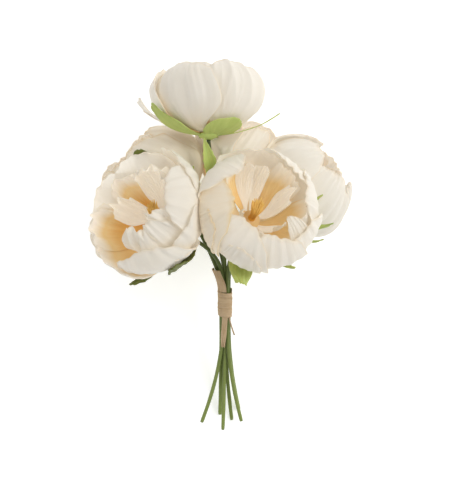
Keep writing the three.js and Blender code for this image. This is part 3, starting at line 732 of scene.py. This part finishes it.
def turned_shape(skin, name, outline, segments, **values):
    """A turned shape round a head's axis: outline is a list of radius and height, ends on the axis."""
    axes, foot = frame_of(name)
    outline = np.array(outline, float)
    angles = 2 * np.pi * np.arange(segments) / segments
    ring = outline[1:-1]
    x = np.outer(np.cos(angles), ring[:, 0])
    y = np.outer(np.sin(angles), ring[:, 0])
    z = np.broadcast_to(ring[:, 1], x.shape)
    points = np.stack([x, y, z], axis=-1).reshape(-1, 3)
    points = np.concatenate([points, [[0, 0, outline[0, 1]], [0, 0, outline[-1, 1]]]])
    rows = len(ring)
    faces = grid_faces(segments, rows, closed=True)
    low, high = segments * rows, segments * rows + 1
    for k in range(segments):
        a, b = k * rows, ((k + 1) % segments) * rows
        faces.append((low, b, a))
        faces.append((high, a + rows - 1, b + rows - 1))
    skin.add(points @ axes + foot, faces, **values)


def make_petals(name):
    skin = Skin()
    planes = planes_of(name, PETAL_THICK / 2)
    core = [(0, -0.5), (CORE_RADIUS * 0.75, -0.5), (CORE_RADIUS, CORE_HEIGHT * 0.35),
            (CORE_RADIUS * 0.8, CORE_HEIGHT * 0.85), (0, CORE_HEIGHT)]
    turned_shape(skin, name, core, 20, warm=1.0)
    u, v = grid(*PETAL_GRIDS[HEADS[name]["form"]])
    rim = np.maximum(smooth(np.abs(u), 0.95, 1), smooth(v, 0.95, 1))
    for petal in petals_of(name):
        points = laid(petal_points(petal, u, v), name, planes)
        low, high = petal["fade"]
        # inner faces: peach towards the foot, partly the petals' own colour and partly painted shade in the
        # hollows, with warmer rims
        warm = petal["heat"] * (1 - smooth(v, low, high)) + RIM_TINT * rim
        # outer faces: the blush, partly painted shade; warmth at the foot by the sepals, also partly painted
        # shade; and warmer rims
        shaded = petal["blush"] + OUTER_WARMTH * petal["heat"] * (1 - smooth(v, 0.05, 0.5)) + RIM_TINT * rim
        thick = PETAL_FOOT_THICK - (PETAL_FOOT_THICK - PETAL_RIM_THICK) * smooth(v, 0.2, 1)
        # inner sets how much of the painted glow each face gives off: a little on the outer face, all of it
        # on the inner one
        add_sheet(
            skin, points, thick, across=u, along=v, piece=petal["seed"] * PIECE_STEP, warm=(shaded, warm),
            inner=(OUTER_PAINTED_GLOW, 1.0),
        )
    piece = skin.build(f"{name}_petal_layers", PETAL)
    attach(piece, "root")
    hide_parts(f"{name}_petals")


# ---------------------------------------------------------------- sepals and stamens

SEPALS = {
    "top": [
        dict(
            turn=308, end=40, span=54, flare=1, ruffle=0.8, waves=3, taper=0.0, droop=26, pleat=1.0,
            pleats=13, waist=0.85,
        ),
        dict(turn=207, end=70, span=20, flare=3, taper=0.7, droop=8, pleats=9, waist=0.8),
        # a thin tendril
        dict(
            turn=12, end=58, span=1.6, flare=19, taper=0.6, droop=2, pleat=0, crease=0, edge=0, frill=0,
            folds=0,
        ),
        dict(turn=90, end=50, span=26, flare=1),
    ],
    "left_front": [
        dict(turn=348, end=71, span=12, flare=2.5),
        dict(turn=50, end=62, span=16, flare=1.2),
        dict(turn=145, end=64, span=20, flare=2.2),
        dict(turn=211, end=61, span=20, flare=2.2),
    ],
    "right_front": [
        dict(turn=259, end=83, span=15, flare=10, taper=0.7, droop=12),
        dict(turn=306, end=79, span=11, flare=1, taper=0.8),
        dict(turn=341, end=84, span=5, flare=4),
        dict(turn=356, end=86, span=8, flare=9),
        dict(turn=20, end=86, span=8, flare=6, taper=0.8),
    ],
    "left_back": [
        dict(turn=190, end=60, span=20, flare=2),
        dict(turn=140, end=54, span=18, flare=2),
        dict(turn=60, end=50, span=18, flare=1),
    ],
    "right_back": [
        dict(turn=14, end=60, span=20, flare=2),
        dict(turn=64, end=50, span=18, flare=1),
        dict(turn=155, end=54, span=20, flare=1),
    ],
    "middle_back": [
        dict(turn=60, end=48, span=20, flare=1),
        dict(turn=120, end=48, span=20, flare=1),
    ],
}
SEPAL_SHAPE = dict(
    root=6, droop=20, taper=0.93, stand=SEPAL_RISE, frill=0.3, frills=4, crease=0.3, pleat=0.45, pleats=5,
    notch=0.4,
)
SEPAL_FOOT_THICK = 0.7
SEPAL_TIP_THICK = 0.4


def make_calyx(name):
    skin = Skin()
    planes = planes_of(name, 0)
    cup = [(0, -CALYX_DEPTH), (2.4, -CALYX_DEPTH), (CALYX_RADIUS * 0.67, -CALYX_DEPTH * 0.73),
           (CALYX_RADIUS, -2.2), (CALYX_RADIUS, -0.5 - GAP), (0, -0.5 - GAP)]
    turned_shape(skin, name, cup, 20)
    u, v = grid(25, 25)
    for k, spec in enumerate(SEPALS[name]):
        sepal = {**PLAIN_PETAL, **SEPAL_SHAPE, **spec, "seed": HEADS[name]["seed"] + 80 + k}
        sepal["radius"] = HEADS[name]["radius"] + SEPAL_STAND
        sepal["low"], sepal["lift"] = CUP_LOW + SEPAL_STAND, -SEPAL_STAND
        points = laid(petal_points(sepal, u, v), name, planes)
        thick = SEPAL_FOOT_THICK - (SEPAL_FOOT_THICK - SEPAL_TIP_THICK) * v
        add_sheet(skin, points, thick, across=u, along=v, piece=sepal["seed"] * PIECE_STEP, warm=0.0)
    piece = skin.build(f"{name}_sepals", SEPAL)
    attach(piece, "root")
    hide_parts(f"{name}_calyx")


# Stamens of a head: how many, how tall and how far they spread.
SHOWN_TUFT = (46, 15, 5.5)
HIDDEN_TUFT = (12, 9, 4.5)


def make_stamens(name):
    skin = Skin()
    head = HEADS[name]
    axes, foot = frame_of(name)
    shown = head["form"] == "open"
    count, height, spread = SHOWN_TUFT if shown else HIDDEN_TUFT
    seat = CORE_HEIGHT + GAP + 0.2
    turned_shape(skin, name, [(0, seat), (3, seat - 0.75), (3, seat + 0.2), (0, seat + 1.4)], 14)
    hang = np.array([1.4, 7.0, 0]) if shown else np.zeros(3)  # the tuft leans one way
    up = np.array([0, 0, 1])
    for k in range(count):
        around = 2.4 * k
        spaced = math.sqrt((k + 0.5) / count)
        tall = height * (1 - 0.12 * (1 + draw(head["seed"] + k + 0.2)))
        lean = (spread - 2.2) * spaced
        way = np.array([math.cos(around), math.sin(around), 0])
        t = np.linspace(0, 1, 7)[:, None]
        bend = way * (2.2 * spaced + lean * t**1.5) + hang * t**2 + up * (seat - 0.3 + tall * t)
        radius = np.array([0.22, 0.2, 0.2, 0.22, 0.55, 0.6, 0.25])
        add_tube(skin, bend @ axes + foot, radius, sides=6)
    piece = skin.build(f"{name}_stamen_tuft", STAMEN)
    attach(piece, "root")
    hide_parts(f"{name}_stamens")


# ---------------------------------------------------------------- stems and leaves

STEMS = {
    "top": dict(slot=None, end=(-5.1, -158.5, 11), leave=15, enter=60, lean=0),
    "left_front": dict(slot=126, end=(-22.8, -152.4, 9), leave=25, enter=30, lean=0),
    "right_front": dict(slot=54, end=(10.3, -151.5, 8.5), leave=25, enter=20, lean=0),
    "left_back": dict(slot=198, end=(-7.6, -146.5, 1.4), leave=8, enter=20, lean=-6.5),
    "right_back": dict(slot=342, end=(8.2, -141.9, 2.6), leave=15, enter=20, lean=0),
    "middle_back": dict(slot=270, end=(2.3, -151.1, 1.4), leave=15, enter=20, lean=0),
}
TIE_AXIS = np.array([0, math.cos(math.radians(TIE_RISE)), math.sin(math.radians(TIE_RISE))])
TIE_SIDE = np.array([1.0, 0, 0])
TIE_FRONT = np.cross(TIE_SIDE, TIE_AXIS)


def tie_point(along, angle, radius):
    """A point in the tie's own space: along its axis, and at an angle (90 is up) and a radius."""
    turn = np.radians(angle)
    return (
        TIE_CENTRE
        + np.multiply.outer(along, TIE_AXIS)
        + np.multiply.outer(radius * np.cos(turn), TIE_SIDE)
        + np.multiply.outer(radius * np.sin(turn), TIE_FRONT)
    )


def bezier(points, t):
    """Points of a Bezier curve with three or four control points."""
    rest = 1 - t
    if len(points) == 3:
        shares = (rest**2, 2 * rest * t, t**2)
    else:
        shares = (rest**3, 3 * rest**2 * t, 3 * rest * t**2, t**3)
    return sum(np.multiply.outer(share, point) for share, point in zip(shares, points))


def place_in_tie(name, along):
    """Where a stem runs through the tie: in its slot of the ring, or in the middle."""
    slot = STEMS[name]["slot"]
    return tie_point(along, 0, 0) if slot is None else tie_point(along, slot, STEM_RING)


def upper_bend(name):
    """The control points of a stem's way from its head to the tie."""
    stem = STEMS[name]
    axes, foot = frame_of(name)
    upper = place_in_tie(name, STEM_STRAIGHT / 2)
    top = foot - axes[2] * (CALYX_DEPTH + GAP)
    above_tie = upper + TIE_AXIS * stem["enter"] + TIE_SIDE * stem["lean"]
    return [top, top - axes[2] * stem["leave"], above_tie, upper]


def stem_path(name):
    """A stem from its head, through the tie, to its cut end."""
    stem = STEMS[name]
    bend = upper_bend(name)
    lower = place_in_tie(name, -STEM_STRAIGHT / 2)
    steps = np.linspace(0, 1, 40)
    first = bezier(bend, steps)
    middle = bend[3] + (lower - bend[3]) * np.linspace(0, 1, 8)[1:-1, None]
    last = bezier([lower, lower - TIE_AXIS * STEM_SPREAD, np.array(stem["end"], float)], steps)
    return np.concatenate([first, middle, last])


HEAD_LEAVES = {
    "left_front": [
        dict(turn=97, end=93, span=15, flare=5, taper=0.6),
        dict(turn=250, end=76, span=14, flare=4, taper=0.75),
        dict(turn=296, end=86, span=21, flare=0, taper=0.6, droop=10),
    ],
}
LEAF_SHAPE = dict(
    root=-1, stalk=1.1, droop=18, taper=0.93, teeth=0.05, cells=16, stand=-LEAF_CLOSE, frill=0.4, frills=4,
    crease=0.4, pleat=0.3, pleats=4, notch=0.8,
)
# Leaves on the stems themselves: at is the share of the upper bend, reach the way to the tip, and
# pale picks the sepals' green.
STEM_LEAVES = {
    "right_front": dict(at=0.5, reach=(5, -26, 5), width=9, arch=2, pale=0),
    "top": dict(at=0.45, reach=(-9.3, 35.7, 21.6), width=10.5, arch=-4, pale=1),
}


def make_stem(name):
    skin = Skin()
    path = stem_path(name)
    swell = 1 + 0.03 * np.sin(np.linspace(0, 40, len(path)) + HEADS[name]["seed"])
    radius = STEM_RADIUS * swell
    radius[-1] *= 0.86
    add_tube(skin, path, radius, sides=16)
    rod = skin.build(f"{name}_stem_rod", STEM)
    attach(rod, "root")
    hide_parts(f"{name}_stem")

    leaves = Skin()
    u, v = grid(21, 49)
    for k, spec in enumerate(HEAD_LEAVES.get(name, [])):
        leaf = {**PLAIN_PETAL, **LEAF_SHAPE, **spec, "seed": HEADS[name]["seed"] + 90 + k}
        leaf["radius"] = HEADS[name]["radius"] + LEAF_STAND
        leaf["low"], leaf["lift"] = CUP_LOW + LEAF_STAND, -LEAF_STAND
        points = laid(petal_points(leaf, u, v), name, planes_of(name, 0))
        add_sheet(leaves, points, LEAF_THICK, across=u, along=v, piece=leaf["seed"] * PIECE_STEP, warm=0.0)
    if name in STEM_LEAVES:
        leaf = STEM_LEAVES[name]
        root = bezier(upper_bend(name), np.array([leaf["at"]]))[0]
        way = np.array(leaf["reach"], float)
        side = unit(np.cross(way, [0, 0, -1.0]))
        up = unit(np.cross(side, way))
        tooth = 1 + 0.06 * np.cos(16 * np.pi * v)
        half = leaf["width"] / 2 * np.sin(np.pi * (0.06 + 0.93 * v)) * tooth
        arch = leaf["arch"] * (4 * v * (1 - v) + 0.5 * u * u * half * 0.3)
        points = root + v[..., None] * way + (half * u)[..., None] * side + arch[..., None] * up
        add_sheet(leaves, points, LEAF_THICK, slot=leaf["pale"], across=u, along=v, piece=3.3, warm=0.0)
    if leaves.count:
        piece = leaves.build(f"{name}_leaves", LEAF, SEPAL)
        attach(piece, "root")


# ---------------------------------------------------------------- the raffia tie


def curve_at(name, along):
    """The point of a stem's upper bend at a distance along the tie's axis from its middle."""
    bend = upper_bend(name)
    low, high = 0.0, 1.0
    for _ in range(30):
        t = (low + high) / 2
        here = bezier(bend, np.array([t]))[0]
        if (here - TIE_CENTRE) @ TIE_AXIS > along:
            low = t
        else:
            high = t
    return bezier(bend, np.array([low]))[0]


def make_tie():
    skin = Skin()
    half = TIE_LENGTH / 2
    # the winding: one flat strip, turned round the stems again and again
    u, v = grid(9, WINDING_TURNS * 48)
    width = TIE_LENGTH / WINDING_TURNS * 1.5
    along = -half + width / 2 + (TIE_LENGTH - width) * v + width / 2 * u + 0.5 * np.sin(9 * v)
    crimp = 0.12 * np.cos(3 * np.pi * u) + 0.15 * np.sin(23 * v)
    radius = TIE_BORE + TIE_WALL * 0.35 + 0.42 * (u + 1) / 2 + crimp
    points = tie_point(along, 360 * WINDING_TURNS * v, radius)
    add_sheet(skin, points, STRIP_THICK, across=u, along=v * WINDING_TURNS * 3, piece=0.1)

    # the strap over the two left stems
    middle = TIE_BORE + TIE_WALL / 2
    columns, rows = 41, 25
    us, vs = np.linspace(-1, 1, columns), np.linspace(0, 1, rows)
    points = np.zeros((columns, rows, 3))
    for j, t in enumerate(vs):
        way = half - 1.5 + (STRAP_LENGTH + 1.5) * t
        first, second = curve_at("left_front", way), curve_at("left_back", way)
        room = np.linalg.norm(first - second) / 2 + STEM_RADIUS + GAP + 0.7
        blend = float(smooth(t, 0.05, 0.9))
        centre = tie_point(way, 0, 0) * (1 - blend) + (first + second) / 2 * blend
        radius = middle + (room - middle) * blend + 0.5 * math.sin(math.pi * blend)
        turn = np.radians(150 - 72 * us)
        radius = radius + 0.18 * np.cos(6 * np.pi * us)
        sideways = np.outer(radius * np.cos(turn), TIE_SIDE)
        points[:, j] = centre + sideways + np.outer(radius * np.sin(turn), TIE_FRONT)
    u, v = grid(columns, rows)
    add_sheet(skin, points, STRAP_THICK, across=u * 2, along=v * 2, piece=0.4)

    def loose(length, width, angle, drift, curl, piece, split=0.0):
        """A loose end that leaves the tie and drifts sideways. split spreads or narrows its ragged tip."""
        u, v = grid(13, 31)
        spread = 1 + split * smooth(v, 0.6, 1)
        ragged = 1.2 * np.sin(9 * u + 2) * smooth(v, 0.7, 1) * (1 if split else 0)
        points = tie_point(1.5 - half - (length + 1.5) * v + ragged, angle, middle + curl * v * v)
        points = points + np.multiply.outer(drift * v + width / 2 * u * spread, TIE_SIDE)
        points = points + np.multiply.outer(0.25 * np.cos(3 * np.pi * u) + 0.4 * np.sin(5 * v), TIE_FRONT)
        add_sheet(skin, points, LOOSE_THICK, across=u, along=v * 2, piece=piece)

    loose(TAIL_LENGTH, TAIL_WIDTH, 90, -1.7, 3, 0.7, split=-0.35)
    loose(STRAND_LENGTH, STRAND_WIDTH, 55, 3.4, 2, 0.9)
    piece = skin.build("raffia_winding", RAFFIA)
    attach(piece, "root")
    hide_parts("raffia_tie")


for head_name in HEADS:
    make_petals(head_name)
    make_calyx(head_name)
    make_stamens(head_name)
    make_stem(head_name)
make_tie()

# ---------------------------------------------------------------- surface, light and camera

# In metres, and in watts for the lights.
FLOOR_REACH = 2.5
FLOOR_GREY = (0.9, 0.9, 0.9, 1)
WHITE = (1, 1, 1, 1)
FLOOR_GLOW = 0.45
WORLD_STRENGTH = 0.53
LIT_POINT = (0, 0, 0.05)
CAMERA_HEIGHT = 1.47
CAMERA_SENSOR = 36.0
CAMERA_LENS = 131.5

floor_mesh = bpy.data.meshes.new("floor")
corners = [(x * FLOOR_REACH, y * FLOOR_REACH, 0) for x, y in ((-1, -1), (1, -1), (1, 1), (-1, 1))]
floor_mesh.from_pydata(corners, [], [(0, 1, 2, 3)])
floor = bpy.data.objects.new("floor", floor_mesh)
bpy.context.scene.collection.objects.link(floor)
floor_finish = new_material(
    "floor_white", 0.9, Base_Color=FLOOR_GREY, Emission_Color=WHITE, Emission_Strength=FLOOR_GLOW,
    Specular_IOR_Level=0.0,
)[0]
floor_mesh.materials.append(floor_finish)


def add_light(name, place, size, power):
    lamp = bpy.data.lights.new(name, "AREA")
    lamp.shape = "SQUARE"
    lamp.size = size
    lamp.energy = power
    holder = bpy.data.objects.new(name, lamp)
    holder.location = place
    way = np.array(LIT_POINT, float) - np.array(place, float)
    holder.rotation_euler = Vector(way).to_track_quat("-Z", "Y").to_euler()
    bpy.context.scene.collection.objects.link(holder)


add_light("key", (1.2, 0.6, 1.4), 0.9, 16)
add_light("fill", (-1.1, -0.2, 1.5), 1.3, 5)

world = bpy.data.worlds.new("studio")
bpy.context.scene.world = world
world.use_nodes = True
world.node_tree.nodes["Background"].inputs["Color"].default_value = WHITE
world.node_tree.nodes["Background"].inputs["Strength"].default_value = WORLD_STRENGTH

camera = bpy.data.cameras.new("camera")
camera.sensor_width = CAMERA_SENSOR
camera.lens = CAMERA_LENS
camera_holder = bpy.data.objects.new("camera", camera)
camera_holder.location = (PLACE[0] * MM, PLACE[1] * MM, CAMERA_HEIGHT)
bpy.context.scene.collection.objects.link(camera_holder)
bpy.context.scene.camera = camera_holder
bpy.context.scene.view_settings.view_transform = "Standard"
